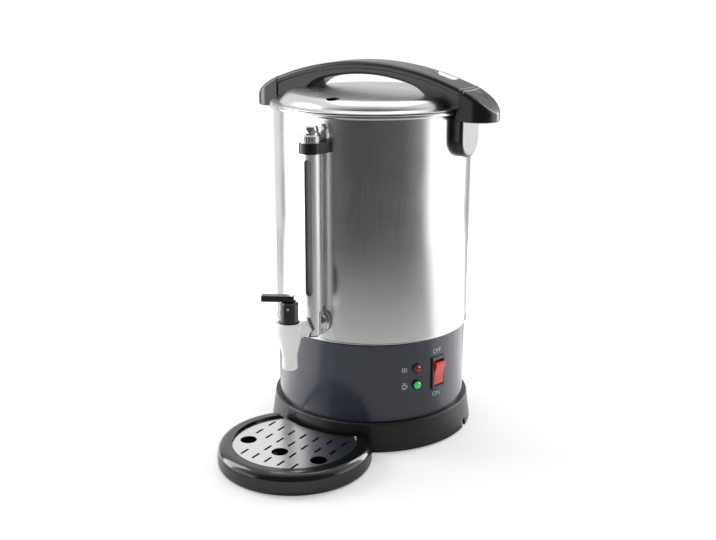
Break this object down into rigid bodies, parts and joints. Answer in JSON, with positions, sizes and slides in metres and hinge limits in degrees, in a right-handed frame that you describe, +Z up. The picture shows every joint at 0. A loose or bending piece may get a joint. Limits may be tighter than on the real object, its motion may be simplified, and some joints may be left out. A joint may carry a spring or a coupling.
{
  "type": "coffee urn",
  "caption": "Free-standing hot drinks urn: steel tank on a painted base, lift-off lid with arched handle, sight gauge, lever tap, rocker switch, lamps and loose drip tray.",
  "frame": {"origin": "centre of the base on the surface that the rubber feet stand on", "axes": "+Z up along the tank's axis, -Y towards the tap and the drip tray, side handles along +X and -X, switch on the +X side"},
  "size_m": [0.303, 0.3593, 0.4176],
  "materials": {
    "brushed_steel": "stainless steel, brushed along its height",
    "lid_steel": "satin stainless steel",
    "polished_steel": "bright stainless plate",
    "inner_steel": "plain stainless sheet",
    "zinc_steel": "zinc plated steel",
    "element_steel": "heat-dulled steel sheath",
    "cast_aluminium": "machined plate",
    "slate_paint": "dark slate blue semi-gloss paint",
    "black_plastic": "black moulded plastic",
    "handle_black": "dark heat-resistant moulding",
    "black_gloss": "black gloss plastic",
    "tray_black": "black gloss moulding",
    "black_rubber": "moulded rubber",
    "silicone": "food-grade silicone",
    "chrome": "bright chrome plate",
    "gauge_glass": "clear tube",
    "milky_plastic": "milky translucent plastic",
    "phenolic": "heat-resistant moulded resin",
    "wire_insulation": "heat-resistant sleeve",
    "red_translucent": "red translucent plastic",
    "red_lens": "dark red lamp lens",
    "green_lens": "lit green lamp lens",
    "brass": "plain brass"
  },
  "bodies": {
    "base": {"tank_body": "brushed_steel", "base_band": "slate_paint", "base_ring": "black_plastic", "gauge_bracket": "black_plastic", "power_inlet": "black_plastic", "base_pan": "inner_steel", "pump_stem": "inner_steel", "coffee_basket": "inner_steel", "basket_cover": "inner_steel", "base_screws": "zinc_steel", "element_clamp": "zinc_steel", "clamp_stud": "zinc_steel", "handle_screws": "zinc_steel", "rubber_feet": "black_rubber", "heater_plate": "cast_aluminium", "heating_element": "element_steel", "keep_warm_element": "element_steel", "boil_thermostat": "phenolic", "thermal_cutout": "phenolic", "terminal_block": "phenolic", "wiring_loom": "wire_insulation", "side_handle_right": "handle_black", "side_handle_left": "handle_black", "outlet_washers": "silicone", "gauge_seals": "silicone", "outlet_nut": "chrome", "outlet_block": "chrome", "tap_nut": "chrome", "gauge_guard": "chrome", "gauge_cap": "chrome", "lever_pin": "chrome", "gauge_glass": "gauge_glass", "tap_body": "milky_plastic", "tap_bonnet": "black_gloss", "switch_body": "black_gloss", "lamp_bezels": "black_gloss", "red_lamp": "red_lens", "green_lamp": "green_lens", "inlet_pins": "brass"},
    "lid_ring": {"lid_seal": "silicone"},
    "lid": {"lid_pan": "lid_steel", "arch_handle_top": "handle_black", "arch_handle_base": "handle_black", "lid_screws": "zinc_steel"},
    "lever": {"tap_lever": "black_gloss"},
    "stem": {"tap_stem": "inner_steel", "seat_cup": "silicone"},
    "rocker": {"switch_rocker": "red_translucent"},
    "tray": {"drip_tray": "tray_black"},
    "grid": {"drip_grid": "polished_steel"}
  },
  "joints": [
    {"name": "lid_lift", "type": "slide", "parent": "base", "child": "lid_ring", "axis": [0, 0, 1], "range_m": [0, 0.06]},
    {"name": "lid_turn", "type": "hinge", "parent": "lid_ring", "child": "lid", "pos_m": [0, 0, 0.373], "axis": [0, 0, 1], "range_deg": [0, 30]},
    {"name": "lever_tilt", "type": "hinge", "parent": "base", "child": "lever", "pos_m": [0, -0.168, 0.1794], "axis": [0.4695, -0.8829, 0], "range_deg": [0, 15], "stiffness_Nm_per_rad": 0.04, "springref_deg": -14.32},
    {"name": "stem_lift", "type": "slide", "parent": "base", "child": "stem", "axis": [0, 0, 1], "range_m": [0, 0.00105]},
    {"name": "rocker_tilt", "type": "hinge", "parent": "base", "child": "rocker", "pos_m": [0.10121, -0.02979, 0.083], "axis": [0.2823, 0.9593, 0], "range_deg": [-18, 0]},
    {"name": "tray_slide", "type": "slide", "parent": "base", "child": "tray", "axis": [0, -1, 0], "range_m": [0, 0.12]},
    {"name": "grid_lift", "type": "slide", "parent": "tray", "child": "grid", "axis": [0, 0, 1], "range_m": [0, 0.06]}
  ],
  "couplings": [
    {"joint": "stem_lift", "follows": "lever_tilt", "m_per_rad": 0.0038}
  ]
}
